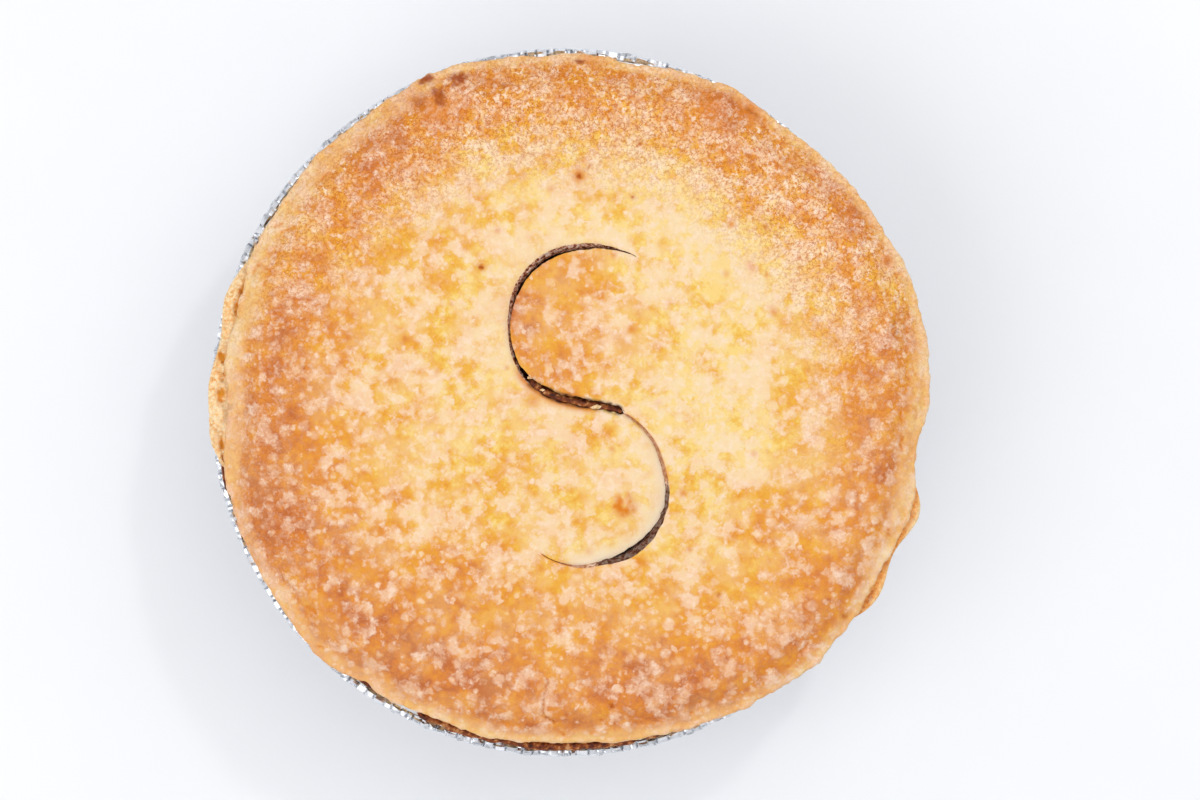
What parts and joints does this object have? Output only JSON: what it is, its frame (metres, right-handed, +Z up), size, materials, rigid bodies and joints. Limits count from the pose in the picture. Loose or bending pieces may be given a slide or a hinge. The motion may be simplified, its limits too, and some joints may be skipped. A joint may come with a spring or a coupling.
{
  "type": "steak and onion pie",
  "caption": "Round shortcrust pie in a crimped foil tray, with a pressed pastry lid, a curved steam vent cut through it and a dark meat filling below.",
  "frame": {"origin": "centre of the foil tray's flat base, on the surface it stands on", "axes": "+Z up out of the lid, +X to the right and +Y to the far side as the pie is looked down on, with the first tip of the vent on the +Y side"},
  "size_m": [0.1285, 0.127, 0.0395],
  "materials": {
    "foil": "bright rolled foil, pleated by pressing",
    "case_pastry": "matt baked shortcrust, pale gold, crumbly at the edge",
    "filling": "wet dark brown gravy with lumps of steak",
    "lid_pastry": "baked shortcrust, mottled cream and golden brown, with a slight egg glaze"
  },
  "bodies": {
    "root": {"foil_tray": "foil", "pastry_case": "case_pastry", "steak_filling": "filling", "pastry_lid": "lid_pastry"}
  },
  "joints": []
}
